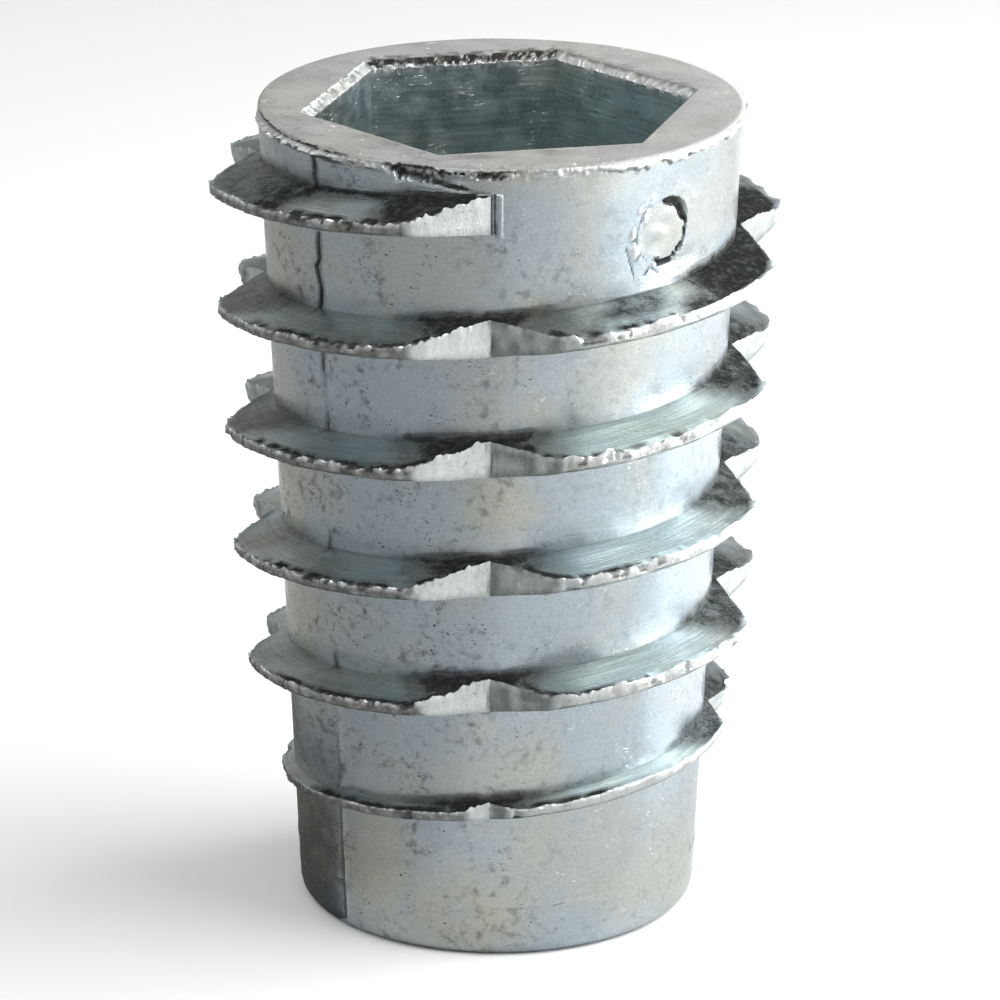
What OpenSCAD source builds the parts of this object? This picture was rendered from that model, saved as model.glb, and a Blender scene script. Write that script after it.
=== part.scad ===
// Screw-in threaded insert, cast in one piece: a tapered tube with a hex socket and a
// bolt bore inside, and a coarse wood thread with V-notches outside.
// The foot stands on the XY plane, the axis is Z, and a column of notches faces -Y.

/* [Body] */
// Height from the foot to the driving end
height = 25; // [20:0.5:40]
// Outer diameter at the driving end, without the wood thread
top_d = 14.44; // [13.6:0.02:17]
// Outer diameter at the foot
foot_d = 12.08; // [11.4:0.02:14]
// Rounding of the outer edge at the foot
foot_round = 0.4; // [0.1:0.05:0.8]
// Chamfer of the outer edge at the driving end
rim_chamfer = 0.12; // [0.05:0.01:0.4]

/* [Bolt bore] */
// Bore at the minor diameter of an M10 thread
bore_d = 8.376; // [6:0.001:9]
// Countersink of the bore at the foot, on the radius
bore_chamfer = 0.7; // [0.2:0.05:1]
// Bevel of the ledge between the socket and the bore, on the radius
ledge_bevel = 0.6; // [0.1:0.05:0.75]

/* [Hex socket] */
// Width across the flats of the hex socket
hex_af = 10; // [9.2:0.05:10.6]
// Depth of the hex socket
hex_depth = 8; // [5:0.25:12]
// Angle of one hex corner from the front column of notches
hex_turn = -15; // [-30:1:30]
// Width of the bevel round the mouth of the socket
socket_bevel = 0.25; // [0.05:0.05:0.4]

/* [Wood thread] */
// Distance from one turn to the next
pitch = 3.75; // [3:0.05:5]
// Distance from the driving end down to the middle of the first turn
thread_drop = 1.38; // [1.2:0.02:3]
// Length of the plain pilot below the thread
pilot = 3; // [1.5:0.1:6]
// Length over which the thread rises out of the pilot
lead_in = 6; // [3:0.1:9]
// Height of the thread where it starts, above the pilot
start_h = 0.12; // [0.08:0.01:0.3]
// Height of the thread at the end of the lead-in
low_h = 1.62; // [1:0.02:2.2]
// Height of the thread at the driving end
high_h = 1.75; // [1:0.02:2.2]
// Width of the crest
crest_w = 0.25; // [0.1:0.01:0.5]
// Angle between the two flanks
flank_angle = 31; // [20:0.5:36]

/* [Notches] */
// Columns of notches round the thread
notch_count = 4; // [3:1:6]
// Angle between the two faces of a notch
notch_angle = 126; // [110:1:150]
// Height of the notch floor above the body
notch_floor = 0.12; // [0.08:0.01:0.4]

/* [Gate mark] */
// Diameter of the mark left by the casting gate
gate_d = 1.75; // [1:0.05:2]
// Width of the groove round the mark
gate_groove = 0.22; // [0.1:0.01:0.35]
// Depth of the groove
gate_depth = 0.18; // [0.05:0.01:0.3]
// Distance from the driving end down to the middle of the mark
gate_drop = 2.4; // [1.5:0.1:2.5]
// Angle of the mark from the front column of notches
gate_turn = 45; // [30:1:60]

/* [Hidden] */
$fn = 96;
front = -90;
past = 0.5;
embed = 0.3;
facet_rings = 3;
ring_step = 4;
thread_top = height - thread_drop;
thread_deg = 360 * (thread_top - pilot) / pitch;
sector = 360 / notch_count;
facet_tilt = 90 - notch_angle / 2;
draft = atan((top_d - foot_d) / 2 / height);
bore_r = bore_d / 2;
socket_floor = height - hex_depth;

// Radius of the plain body at height z
function body_r(z) = foot_d / 2 + z * tan(draft);

// Height of the uncut thread above the body: a short rise, then a slow one
function thread_h(z) =
    let (rise = min(1, (z - pilot) / lead_in))
    let (slow = max(0, z - pilot - lead_in) / (thread_top - pilot - lead_in))
    start_h + (low_h - start_h) * rise + (high_h - low_h) * slow;

// Half the width of the thread at radius r, where its crest is at radius crest
function half_w(crest, r) = crest_w / 2 + (crest - r) * tan(flank_angle / 2);

// Angle from the middle of the nearest notch
function from_notch(t) =
    let (past_notch = t - sector * floor(t / sector))
    min(past_notch, sector - past_notch);

// Radius of a notch's face at angle a from the middle of the notch
function notch_r(core, a) = (core + notch_floor) * cos(facet_tilt) / cos(min(a + facet_tilt, 89));

// Height, body radius and crest radius after t degrees down the thread from its top end
function thread_z(t) = thread_top - pitch * t / 360;
function core_r(t) = body_r(thread_z(t));
function crest_r(t) = core_r(t) + thread_h(thread_z(t));
function tip_r(t) = min(crest_r(t), notch_r(core_r(t), from_notch(t)));

// Angle from the middle of the notch at t to where its face meets the crest
function notch_half(t) =
    let (share = (core_r(t) + notch_floor) * cos(facet_tilt) / crest_r(t))
    share >= cos(facet_tilt) ? 0 : min(acos(share) - facet_tilt, sector * 0.45);

// Ring positions from notch k to the next: its face, the crest, and the next face
function sector_stops(k) =
    let (from = k * sector, upto = from + sector)
    let (first = notch_half(from), last = notch_half(upto))
    let (count = ceil((sector - first - last) / ring_step))
    let (step = (sector - first - last) / count)
    concat(
        first > 0.5 ? [for (i = [0 : facet_rings - 1]) from + first * i / facet_rings] : [from],
        [for (i = [(first > 0.5 ? 0 : 1) : count - 1]) from + first + step * i],
        last > 0.5 ? [for (i = [0 : facet_rings - 1]) upto - last * (1 - i / facet_rings)] : []
    );

function on_ring(t, r, dz) = [r * cos(front - t), r * sin(front - t), thread_z(t) + dz];

// The four corners of the thread's section after t degrees
function ring(t) =
    let (crest = crest_r(t), tip = tip_r(t), root = core_r(t) - embed)
    let (tip_w = half_w(crest, tip), root_w = half_w(crest, root))
    [on_ring(t, root, -root_w), on_ring(t, tip, -tip_w), on_ring(t, tip, tip_w), on_ring(t, root, root_w)];

// Half section of the solid body, with its foot edge rounded
module body_section() {
    round_r = foot_d / 2 + foot_round * tan(draft) - foot_round / cos(draft);
    translate([round_r, foot_round]) circle(r = foot_round);
    polygon([
        [0, 0],
        [round_r, 0],
        [round_r + foot_round * cos(draft), foot_round * (1 - sin(draft))],
        [body_r(height - rim_chamfer), height - rim_chamfer],
        [top_d / 2 - rim_chamfer, height],
        [0, height]
    ]);
}

// Right-hand ridge with its notches, swept ring by ring and sunk a little into the body
module wood_thread() {
    sectors = ceil(thread_deg / sector - 0.001);
    stops = concat(
        [for (k = [0 : sectors - 1]) for (t = sector_stops(k)) if (t < thread_deg - 0.5) t],
        [thread_deg]
    );
    last = 4 * (len(stops) - 1);
    sides = [
        for (i = [0 : len(stops) - 2]) for (j = [0 : 3])
        let (a = 4 * i + j, b = 4 * i + (j + 1) % 4)
        each [[a, b + 4, b], [a, a + 4, b + 4]]
    ];
    polyhedron(
        points = [for (t = stops) each ring(t)],
        faces = concat(sides, [[0, 1, 2, 3], [last + 3, last + 2, last + 1, last]])
    );
}

// Bore for the bolt, open at both ends, with a countersink at the foot
module bolt_bore() {
    translate([0, 0, -past]) cylinder(r = bore_r, h = socket_floor + 2 * past);
    translate([0, 0, -past])
        cylinder(r1 = bore_r + bore_chamfer + past, r2 = bore_r, h = bore_chamfer + past);
    translate([0, 0, socket_floor - ledge_bevel])
        cylinder(r1 = bore_r, r2 = bore_r + ledge_bevel, h = ledge_bevel);
}

// Hex socket for the driving key, with a bevelled mouth
module hex_socket() {
    corner_r = hex_af / 2 / cos(30);
    bevel_r = (hex_af / 2 + socket_bevel + past) / cos(30);
    rotate(front + hex_turn) {
        translate([0, 0, socket_floor]) cylinder(r = corner_r, h = hex_depth + past, $fn = 6);
        translate([0, 0, height - socket_bevel])
            cylinder(r1 = corner_r, r2 = bevel_r, h = socket_bevel + past, $fn = 6);
    }
}

// Ring groove left round the casting gate
module gate_mark() {
    gate_z = height - gate_drop;
    rotate(front + gate_turn) translate([body_r(gate_z) - gate_depth, 0, gate_z]) rotate([0, 90, 0])
        difference() {
            cylinder(d = gate_d, h = gate_depth + past);
            translate([0, 0, -past]) cylinder(d = gate_d - 2 * gate_groove, h = gate_depth + 3 * past);
        }
}

// The whole casting
module insert() {
    color([0.72, 0.75, 0.76]) {
        difference() {
            rotate_extrude() body_section();
            bolt_bore();
            hex_socket();
            gate_mark();
        }
        wood_thread();
    }
}

insert();
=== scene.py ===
import math
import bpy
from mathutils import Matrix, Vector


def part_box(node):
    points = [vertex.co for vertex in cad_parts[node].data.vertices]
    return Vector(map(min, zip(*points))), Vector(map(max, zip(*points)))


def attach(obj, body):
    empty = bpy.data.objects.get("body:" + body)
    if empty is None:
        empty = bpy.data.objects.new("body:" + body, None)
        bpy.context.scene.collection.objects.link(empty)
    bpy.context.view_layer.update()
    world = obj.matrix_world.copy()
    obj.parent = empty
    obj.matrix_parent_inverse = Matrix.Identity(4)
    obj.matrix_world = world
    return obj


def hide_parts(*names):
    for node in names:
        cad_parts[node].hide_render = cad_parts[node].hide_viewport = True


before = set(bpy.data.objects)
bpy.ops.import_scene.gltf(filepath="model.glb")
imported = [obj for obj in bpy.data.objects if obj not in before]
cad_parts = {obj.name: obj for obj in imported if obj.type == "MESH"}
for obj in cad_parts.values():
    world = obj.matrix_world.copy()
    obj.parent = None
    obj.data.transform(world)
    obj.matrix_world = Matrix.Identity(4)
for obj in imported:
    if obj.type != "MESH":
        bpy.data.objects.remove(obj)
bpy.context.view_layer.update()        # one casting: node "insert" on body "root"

from types import SimpleNamespace

import bmesh
import bpy
from mathutils import Matrix, Vector, noise

mm = 0.001               # every size below is in millimetres, every angle in degrees
boxLow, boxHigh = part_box("insert")
height = (boxHigh.z - boxLow.z) / mm

# How finely the skin is cut. The coarse columns are every third fine one.
cutting = {
    "fineColumns": 864,
    "fineStep": 3,
    "socketColumns": 576,
    "boreColumns": 72,
    "snap": 0.05,            # rows this close to a ring fall onto it
    "sharpFrom": 38,
}
coarseColumns = cutting["fineColumns"] // cutting["fineStep"]
skins = ["wall", "flank", "crest", "notch", "endFace", "socket"]


def mix(a, b, share):
    return a + (b - a) * share


def ease(low, high, value):
    share = min(1, max(0, (value - low) / (high - low)))
    return share * share * (3 - 2 * share)


# 1 from low to high, 0 outside, and soft at both ends
def band(value, low, high, soft):
    return ease(low - soft, low + soft, value) * (1 - ease(high - soft, high + soft, value))


def sinDeg(angle):
    return math.sin(math.radians(angle))


def cosDeg(angle):
    return math.cos(math.radians(angle))


def tanDeg(angle):
    return math.tan(math.radians(angle))


# Angles start at the front (-Y) and turn towards +X
def place(angle, radius, z):
    return Vector((radius * sinDeg(angle), -radius * cosDeg(angle), z))


# An angle counted from the front, as -180 to 180
def fromFront(angle):
    return (angle + 180) % 360 - 180


def turnOf(point):
    return math.degrees(math.atan2(point.x, -point.y))


# Smooth noise about 0. Each seed takes it from a place of its own.
def ripple(point, size, seed):
    return noise.noise(point / size + Vector((seed * 17.3, seed * 5.1, seed * 9.7)))


# Round grains scattered in space: 1 in the middle of a grain, 0 between grains
def grains(point, size, seed):
    nearest = noise.voronoi(point / size + Vector((seed * 7.7, seed * 3.9, 0)))[0][0]
    return max(0, 1 - (nearest * 1.9) ** 2)


def mixedGrains(point, size, seed, smallSeed, small=0.5):
    return grains(point, size, seed) + small * grains(point, size / 2, smallSeed)


# Straw-coloured patches in the plating: (turn, height, half width in degrees, half height, amount)
strawPatches = [
    (-68, 14, 16, 14, 0.45),
    (-34, 2.3, 17, 2.8, 0.65),
    (-8, 1.4, 28, 2.4, 0.6),
    (3, 14.5, 13, 1.3, 0.7),
    (11, 17.6, 7, 0.9, 0.5),
    (10, 20.8, 7, 0.6, 0.5),
    (-8, 11.4, 12, 0.9, 0.3),
    (-2, 7.5, 11, 0.8, 0.4),
    (16, 3.6, 14, 1, 0.3),
    (-66, 2.2, 20, 3.6, 0.7),
]


def strawAt(point):
    turn = turnOf(point)
    return max(amount * (1 - ease(0.2, 1.3, math.hypot((turn - middle) / wide, (point.z - z) / tall)))
               for middle, z, wide, tall, amount in strawPatches)


# The mesh grows in one place, with three values kept on each point for the finishes: soot with painted shade,
# shine of bare metal with painted highlight on the thread's burrs, and straw tint
bm = bmesh.new()
dirtAndShadeLayer = bm.verts.layers.float.new("dirtAndShade")
shineLayer = bm.verts.layers.float.new("shine")
strawLayer = bm.verts.layers.float.new("straw")


def addPoint(point, dirtAndShade=0, shine=0):
    made = bm.verts.new(point * mm)
    made[dirtAndShadeLayer] = min(1, max(0, dirtAndShade))
    made[shineLayer] = min(1, max(0, shine))
    made[strawLayer] = strawAt(point)
    return made


# A closed ring, from a function that makes the point at one angle
def ringOf(count, pointAt):
    return [pointAt(k * 360 / count) for k in range(count)]


# A face through these corners, without those that fell together
def addFace(corners, skin):
    kept = [v for k, v in enumerate(corners) if v is not corners[k - 1]]
    if len(kept) > 2 and len(set(kept)) == len(kept):
        bm.faces.new(kept).material_index = skins.index(skin)


def addBetween(lower, upper, skin):
    if len(lower) == len(upper):
        for k in range(len(lower) - 1):
            addFace([lower[k], lower[k + 1], upper[k + 1], upper[k]], skin)
    else:
        addFace(lower + upper[::-1], skin)


# Faces from one closed ring to the next. One ring may have a multiple of the other's points.
def bridge(first, second, skin):
    count = min(len(first), len(second))
    for k in range(count):
        sides = []
        for ring in (first, second):
            step = len(ring) // count
            sides.append([ring[(k * step + n) % len(ring)] for n in range(step + 1)])
        addBetween(*sides, skin)


def bridgeAll(rings, skin):
    for first, second in zip(rings, rings[1:]):
        bridge(first, second, skin)


# Helical rows between two closed rings. The last row of a turn is the first row of the
# next turn, and a point past a ring falls onto it. For a row at one column, pointAt gives its
# height, point, dirt and shine, and isFine says whether no column is left out there.
def helicalSheet(rows, pitch, startZ, lowRing, highRing, lowZ, highZ, step, pointAt, skinAt, isFine, inward):
    perTurn = len(lowRing) * step
    made = {}

    def columnNear(z):
        return round((z - startZ) / pitch * perTurn / step) * step

    def pointOn(column, row):
        if row == len(rows):
            column, row = column + perTurn, 0
        if (column, row) not in made:
            onRing = round(column / step) % len(lowRing)
            z, point, dirtAndShade, shine = pointAt(column, rows[row])
            if z < lowZ + cutting["snap"]:
                made[column, row] = lowRing[onRing]
            elif z > highZ - cutting["snap"]:
                made[column, row] = highRing[onRing]
            else:
                made[column, row] = addPoint(point, dirtAndShade, shine)
        return made[column, row]

    def stretchOn(column, row):
        fine = row < len(rows) and isFine(column, rows[row])
        return [pointOn(k, row) for k in range(column, column + step + 1, 1 if fine else step)]

    for column in range(columnNear(lowZ - pitch), columnNear(highZ + pitch), step):
        for row in range(len(rows)):
            sides = [stretchOn(column, row), stretchOn(column, row + 1)]
            if inward:
                sides.reverse()
            addBetween(*sides, skinAt(column, rows[row]))


body = {
    "footRadius": 6.04,
    "topRadius": 7.22,
    "footRound": 0.4,
    "footRoundSteps": 4,
    "wave": 0.010,           # soft waves left in the cast wall
    "waveSize": 2.8,
    "grain": 0.003,          # finer unevenness on top of them
    "grainSize": 0.4,
    "fillet": 13,            # on the right the wall leans out by this angle above the thread
    "filletReach": 1.15,
    "filletZone": (30, 150),
    "filletSoft": 18,
}


def coreRadius(z):
    return mix(body["footRadius"], body["topRadius"], z / height)


def rootFillet(above, ridge):
    share = max(0, 1 - above / body["filletReach"])
    there = band(ridge.turn, *body["filletZone"], body["filletSoft"]) * ease(0, 1.3, ridge.tall)
    return 0.5 * tanDeg(body["fillet"]) * body["filletReach"] * share ** 2 * there


def wallUneven(point):
    waves = ripple(point, body["waveSize"], 1) * body["wave"]
    return waves + ripple(point, body["grainSize"], 2) * body["grain"]


# Joint line of the mould, at two opposite places: a crack that is widest near the driving
# end, and a low ridge where it stayed closed
seam = {
    "angle": -45,
    "reach": 5,              # how far round it the columns are drawn together
    "pinch": 0.95,
    "wander": 1.9,
    "wanderSize": 0.5,
    "jag": 1.1,              # smaller and sharper bends
    "jagSize": 0.17,
    "straight": (2, 9),      # heights between which it goes over from straight to wandering
    "width": 0.9,            # half of the crack, in degrees
    "depth": 0.18,
    "lip": 0.035,
    "stain": 2.6,            # reach of the dirt in and along the crack
    "rootStain": 0.75,       # how dark it is just above the thread
    "ridge": 0.03,
    "openFrom": 0.5,         # shares of the height
    "openFull": 0.85,
}


def fromSeam(angle):
    return (angle - seam["angle"] + 90) % 180 - 90


# How far the joint line has cracked open, in broken stretches
def seamOpen(z):
    broken = ease(-0.25, 0.3, ripple(Vector((0, 1.7, z)), 0.9, 4))
    broken = max(mix(0.35, 1, broken), 0.85 * ease(height * 0.78, height * 0.82, z))
    return ease(height * seam["openFrom"], height * seam["openFull"], z) * broken


# What the joint line does to the wall: how far it moves outwards, and how dirty it is
def seamMarks(away, z):
    opened = seamOpen(z)
    width = seam["width"] + 1.2 * ripple(Vector((5.1, 0, z)), 0.2, 16)
    middle = 1 - ease(0, width, abs(away))
    lipped = band(abs(away), width, width + seam["width"], 0.3) * opened * seam["lip"]
    out = middle * ((1 - opened) * seam["ridge"] - opened * seam["depth"]) + lipped
    aboveTurn = (z - threadTop - woodThread["pitch"] * seam["angle"] / 360) % woodThread["pitch"]
    atRoot = seam["rootStain"] * (1 - ease(0.7, 1.35, aboveTurn))
    atRoot *= aboveTurn > 0.5 and z > woodThread["pilot"] + 1
    return out, max(mix(0.1, 1, opened), atRoot) * (1 - ease(0.4, seam["stain"], abs(away)))


# Angle of a fine column at height z: drawn towards the seam, and turned at the side notches
def columnAngle(column, z, follow=1):
    angle = column * 360 / cutting["fineColumns"]
    away = fromSeam(angle)
    near = max(0, 1 - abs(away) / seam["reach"])
    side = round((angle - seam["angle"]) / 180) % 2
    along = Vector((side * 3.1, 0, z))
    wander = ripple(along, seam["wanderSize"], 3) * seam["wander"]
    wander += ripple(along, seam["jagSize"], 18) * seam["jag"]
    wander *= near * mix(0.25, 1, ease(*seam["straight"], z))
    turned = woodThread["sideTurn"] * sinDeg(angle) ** 2
    return angle + follow * (turned + wander - away * seam["pinch"] * near ** 2)


woodThread = {
    "pitch": 3.75,
    "drop": 1.38,            # from the driving end to the middle of the first turn
    "pilot": 3,
    "leadIn": 6,
    "startHeight": 0.12,
    "lowHeight": 1.62,
    "highHeight": 1.75,
    "crestWidth": 0.25,
    "crestRound": 0.07,
    "flankAngle": 31,
    "notches": 4,
    "notchAngle": 126,
    "notchFloor": 0.12,
    "cornerRound": 0.8,      # softening where a notch meets the crest
    "sideTurn": -2,          # the two side columns of notches sit a little clockwise
    "wander": 0.035,         # unevenness of the crest line
    "wanderSize": 1.1,
    "fine": 0.018,
    "fineSize": 0.3,
    "crestGrain": 0.045,
    "nick": 0.12,            # deepest nick in the crest
    "nickSize": 0.5,
    "rope": 0.055,           # burr rolled up along the upper edge, smoother and thicker on the right
    "rightRope": 0.25,
    "smoothZone": (18, 150),
    "bead": 0.11,            # height of the beads on it
    "beadSize": 0.27,
    "lowBeads": (100, 120),  # they are lower from here on, on the far side
    "plainRoot": 0.95,       # how far the rows spread where there is no thread
    "plainCrest": 0.35,
    "plainFrom": 12,
}
threadTop = height - woodThread["drop"]
threadEnd = -360 * (threadTop - woodThread["pilot"]) / woodThread["pitch"]
sector = 360 / woodThread["notches"]
facetTilt = 90 - woodThread["notchAngle"] / 2
flankSlope = tanDeg(woodThread["flankAngle"] / 2)


def threadHeight(z):
    fullFrom = woodThread["pilot"] + woodThread["leadIn"]
    rise = min(1, (z - woodThread["pilot"]) / woodThread["leadIn"])
    slow = max(0, z - fullFrom) / (threadTop - fullFrom)
    start = mix(woodThread["startHeight"], woodThread["lowHeight"], rise)
    return start + (woodThread["highHeight"] - woodThread["lowHeight"]) * slow


def notchFace(core, away):
    reach = min(abs(away) + facetTilt, 89)
    return (core + woodThread["notchFloor"]) * cosDeg(facetTilt) / cosDeg(reach)


# The smaller of two values, with the corner between them rounded
def softMin(a, b, blend):
    overlap = max(blend - abs(a - b), 0) / blend
    return min(a, b) - overlap * overlap * blend / 4


# The ridge at one angle down the thread: where it is, how tall, and how wide at root and crest
def ridgeAt(angle):
    z = threadTop + woodThread["pitch"] * angle / 360
    core = coreRadius(z)
    inside = threadEnd <= angle <= 0
    away = (angle + sector / 2) % sector - sector / 2      # negative before a notch
    outside = max(angle, threadEnd - angle, 0)
    fullHeight = threadHeight(threadTop if angle > 0 else max(z, woodThread["pilot"]))
    face = notchFace(core, away)
    tip = softMin(core + fullHeight, face, min(woodThread["cornerRound"], fullHeight * 0.4))
    rootHalf = woodThread["crestWidth"] / 2 + fullHeight * flankSlope
    tipHalf = rootHalf - (tip - core) * flankSlope
    plain = ease(0, woodThread["plainFrom"], outside)
    return SimpleNamespace(
        angle=angle,
        turn=fromFront(angle),
        z=z,
        tip=tip if inside else core,
        tall=tip - core if inside else 0,
        rootHalf=mix(rootHalf, woodThread["plainRoot"], plain),
        tipHalf=mix(tipHalf, woodThread["plainCrest"], plain),
        inside=inside,
        away=away,
        onNotch=inside and face < core + fullHeight,
        cut=ease(0, 0.3, core + fullHeight - face) if inside else 0,
    )


# One turn's rows, from the middle of the gap below to the middle of the gap above.
# A row is (name, share of the way across that part, whether it is fine, share of the burr).
def sectionRows():
    rows = [("wallBelow", k / 5, False, 0) for k in range(5)]
    rows += [("flankBelow", share, False, 0) for share in (0, 0.35, 0.65)]
    rows += [("flankBelow", 0.88, True, 0)]
    rows += [("crest", 0, True, 0.1), ("crest", 0.35, True, 0.1), ("crest", 0.75, True, 0.1)]
    rows += [("crest", 0.92, True, 0.85), ("crest", 1, True, 1)]
    rows += [("flankAbove", 0.05, True, 0.75), ("flankAbove", 0.1, True, 0.15), ("flankAbove", 0.17, True, 0)]
    rows += [("flankAbove", share, False, 0) for share in (0.33, 0.65, 1)]
    rows += [("wallAbove", share, False, 0) for share in (0.06, 0.22, 0.5)]
    return rows


# Radius and height of a row, before any unevenness
def sectionPoint(ridge, name, share):
    middle = ridge.z
    half = woodThread["pitch"] / 2
    if name == "wallBelow":
        z = middle + mix(-half, -ridge.rootHalf, share)
        return coreRadius(z), z
    if name == "wallAbove":
        z = middle + mix(ridge.rootHalf, half, share)
        return coreRadius(z) + rootFillet(z - middle - ridge.rootHalf, ridge), z
    if name == "crest":
        z = middle + mix(-ridge.tipHalf, ridge.tipHalf, share)
        rounded = woodThread["crestRound"] * (1 - ridge.cut) * min(1, ridge.tall)
        rounded *= abs(2 * share - 1) ** 3
        return ridge.tip - rounded + coreRadius(z) - coreRadius(middle), z
    way = 1 if name == "flankAbove" else -1
    down = share if way > 0 else 1 - share                 # 0 at the crest, 1 at the root
    z = middle + way * mix(ridge.tipHalf, ridge.rootHalf, down)
    tip = ridge.tip + coreRadius(z) - coreRadius(middle)
    root = coreRadius(middle + way * ridge.rootHalf)
    if way > 0:
        root += rootFillet(0, ridge)
    return mix(tip, root, down), z


# Sooty residue by the notches; soot and painted shade behind the burrs and on the left of the crest;
# darker roots; and painted shade under the crest. The notches are the front, right, back and left ones:
# how far it reaches on each side, as (full, none) in degrees, and the two faces of the notch, as (grit,
# shine, beads on the upper edge).
sootAndShade = {
    "notches": [
        {"before": (5, 40), "after": (3, 23), "dark": 1, "faces": [(0, 0.2, 1.5), (0.4, 0, 0.35)]},
        {"before": (23, 45), "after": (14, 40), "dark": 0.7, "faces": [(0.2, 0, 0.3), (0.18, 0, 0.9)]},
        {"before": (2, 18), "after": (2, 12), "dark": 0.5, "faces": [(0.2, 0, 0.4), (0.2, 0, 0.4)]},
        {"before": (22, 44), "after": (31, 54), "dark": 0.6, "faces": [(0.34, 0, 0.6), (0.2, 0, 0.3)]},
    ],
    "leftTips": [1, 1, 0.95, 0.65, 0.6],           # by turn, from the driving end
    "rightTips": [1.5, 1, 1.04, 1.04, 1.04],
    "rightSpread": 1.2,      # on the first turn it reaches further on the right
    "leftFade": (-74, -60),  # and thins out towards the left side
    "firstTurn": 0.92,       # the first quarter turn is sooty all over, apart from one patch
    "firstTurnTo": -100,
    "leftZone": (-88, -6),
    "leftFilm": (-66, -32),  # it grows darker between these
    "cleanPatch": (-42, -23),
    "film": 0.55,            # thinner, at the end of that turn, on the front right
    "filmZone": (-358, -280),
    "gapZones": [(-48, -12, 1), (12, 48, 0.8)],    # sooty gaps in the burr: (start, stop, amount)
    "edge": 0.44,            # reach from the burr, in millimetres
    "edgeZones": [(-56, -6, 1.15), (5, 34, 1.1)],  # how dark it is there
    "edgeElse": 0.3,
    "edgeFront": (-60, 80),  # thinner outside this zone
    # Painted shade: a thin dark line along the lower edge of the crest, over the wall below
    "underCrestShade": 0.5,
    "root": 0.3,
    # Crest grit: soot, and painted shade where less light falls; the lit right-hand side below is kept clean
    # of it
    "crest": 0.5,
    "cleanLitCrest": (4, 172),
}


def notchOf(ridge):
    return sootAndShade["notches"][round(ridge.turn / sector) % woodThread["notches"]]


# Number of the turn, from 0 at the driving end. The lowest turns count as one.
def lapOf(ridge):
    return min(len(sootAndShade["leftTips"]) - 1, int(-ridge.angle / 360))


# The most that any of these zones has at this angle
def mostOf(zones, turn):
    return max(amount * band(turn, start, stop, 8) for start, stop, amount in zones)


# Sooty gaps in the burr, on both sides of the front notches
def burrGap(point, ridge):
    there = mostOf(sootAndShade["gapZones"], ridge.turn)
    there *= min(1, ridge.tall / 1.2) * (1 - ridge.cut)
    return there * ease(0.05, 0.34, ripple(point, 0.4, 29) + 0.5 * ripple(point, 0.15, 30))


# Waves, nicks and beads of the crest: how far a point moves outwards and upwards, and how
# bright it is painted: bare metal with painted highlight
def burrAt(point, ridge, name, share, bead):
    if ridge.tall < 0.02:
        return 0, 0, 0
    down = {"crest": 0, "flankAbove": share, "flankBelow": 1 - share}.get(name, 1)
    tall = min(1, ridge.tall / 0.4)
    soft = max(0, 1 - down * 1.6) * tall
    out = ripple(point, woodThread["wanderSize"], 5) * woodThread["wander"] * soft
    up = ripple(point, woodThread["wanderSize"], 6) * woodThread["wander"] * soft
    edge = (1 - ease(0.03, 0.14, down)) * tall * (1 - ridge.cut)
    nick = ease(0.42, 0.62, ripple(point, woodThread["nickSize"], 8)) * woodThread["nick"]
    out += (ripple(point, woodThread["fineSize"], 7) * woodThread["fine"] - nick) * edge
    faced = notchOf(ridge)["faces"][ridge.away > 0]
    smooth = band(ridge.turn, *woodThread["smoothZone"], 12) * (1 - ridge.cut)
    bead **= mix(1, 0.45, smooth)
    bead *= mix(mix(1, 0.5, ease(*woodThread["lowBeads"], abs(ridge.turn))), faced[2], ridge.cut)
    uneven = 0.7 + 0.9 * ripple(point, 0.6, 10) + 0.7 * smooth * ripple(point, 1.1, 13)
    grain = mixedGrains(point, woodThread["beadSize"], 9, 10)
    if name == "crest":
        out += (1 - smooth) * (1 - ridge.cut) * woodThread["crestGrain"] * grains(point, 0.2, 20) * tall
    rope = mix(woodThread["rope"], woodThread["rightRope"], smooth)
    small = mix(ease(0, 1.3, ridge.tall), tall, ridge.cut)
    gap = burrGap(point, ridge)
    burr = bead * small * (rope * max(0, uneven) + woodThread["bead"] * grain * (1 - 0.5 * smooth))
    burr *= 1 - 0.5 * gap
    # Painted highlight: the beads and rope are painted bright, most on the smooth right-hand rope where the
    # light falls
    bright = min(1, bead * tall) * min(1, 0.1 + 1.1 * grain + 0.8 * smooth) * (1 - 0.9 * gap)
    if name == "crest":
        bright = max(bright, faced[1] * ridge.cut)
    return out + burr * mix(0.5, 0.9, ridge.cut), up + burr, bright


# Soot beside a notch, darkest next to it
def notchSoot(ridge, notch, spread):
    turn, lap = ridge.turn, lapOf(ridge)
    full, none = notch["before" if ridge.away < 0 else "after"]
    onRight = turn > sector / 2
    if onRight and lap == 0:
        spread = sootAndShade["rightSpread"]
    near = notch["dark"] * (1 - ease(full * spread, none * spread, abs(ridge.away)))
    if onRight:
        near *= sootAndShade["rightTips"][lap]
    if turn < -sector / 2:
        near *= sootAndShade["leftTips"][lap] * mix(0.85, 1, ease(*sootAndShade["leftFade"], turn))
    return near * (1 + 0.15 * ripple(Vector((0, 0, ridge.z)), 2.1, 11))


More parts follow.
